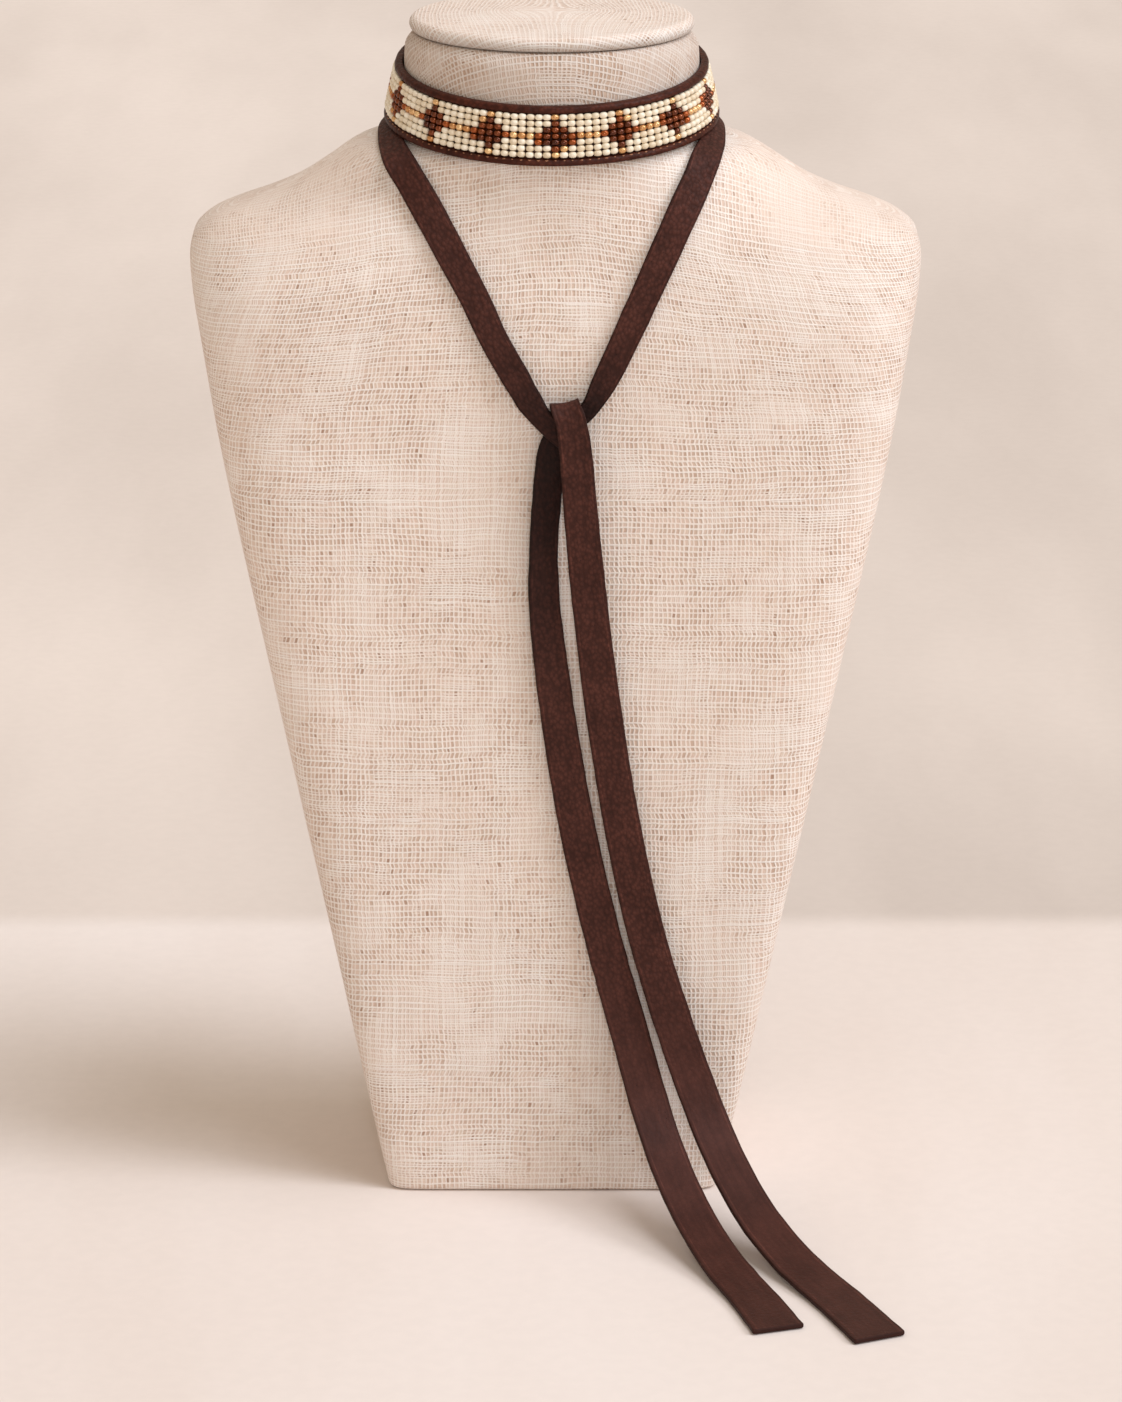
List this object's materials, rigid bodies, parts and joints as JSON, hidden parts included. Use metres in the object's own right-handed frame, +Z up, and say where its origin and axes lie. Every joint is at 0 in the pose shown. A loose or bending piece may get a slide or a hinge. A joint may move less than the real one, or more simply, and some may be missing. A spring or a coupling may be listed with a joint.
{
  "type": "lariat necklace on a neck bust",
  "caption": "Short beaded leather choker and a long flat leather lariat strap, knotted on the chest, its tails reaching the floor, on a linen-covered neck bust.",
  "frame": {"origin": "centre of the bust's flat bottom, which stands on the floor", "axes": "+Z up, the bust faces -Y, +X is to the right of a viewer in front"},
  "size_m": [0.2708, 0.2422, 0.45],
  "materials": {
    "linen": "matte woven",
    "leather": "smooth, low sheen",
    "glass_beads": "opaque, glossy",
    "clasp_metal": "satin"
  },
  "bodies": {
    "root": {"bust_body": "linen", "neck_cap": "linen", "choker_band": "leather", "choker_clasp": "clasp_metal", "bead_panel_1": "glass_beads", "bead_panel_2": "glass_beads", "bead_panel_3": "glass_beads", "bead_panel_4": "glass_beads", "bead_panel_5": "glass_beads", "bead_panel_6": "glass_beads", "bead_panel_7": "glass_beads", "bead_panel_8": "glass_beads", "bead_panel_9": "glass_beads", "lariat_strap": "leather"}
  },
  "joints": []
}
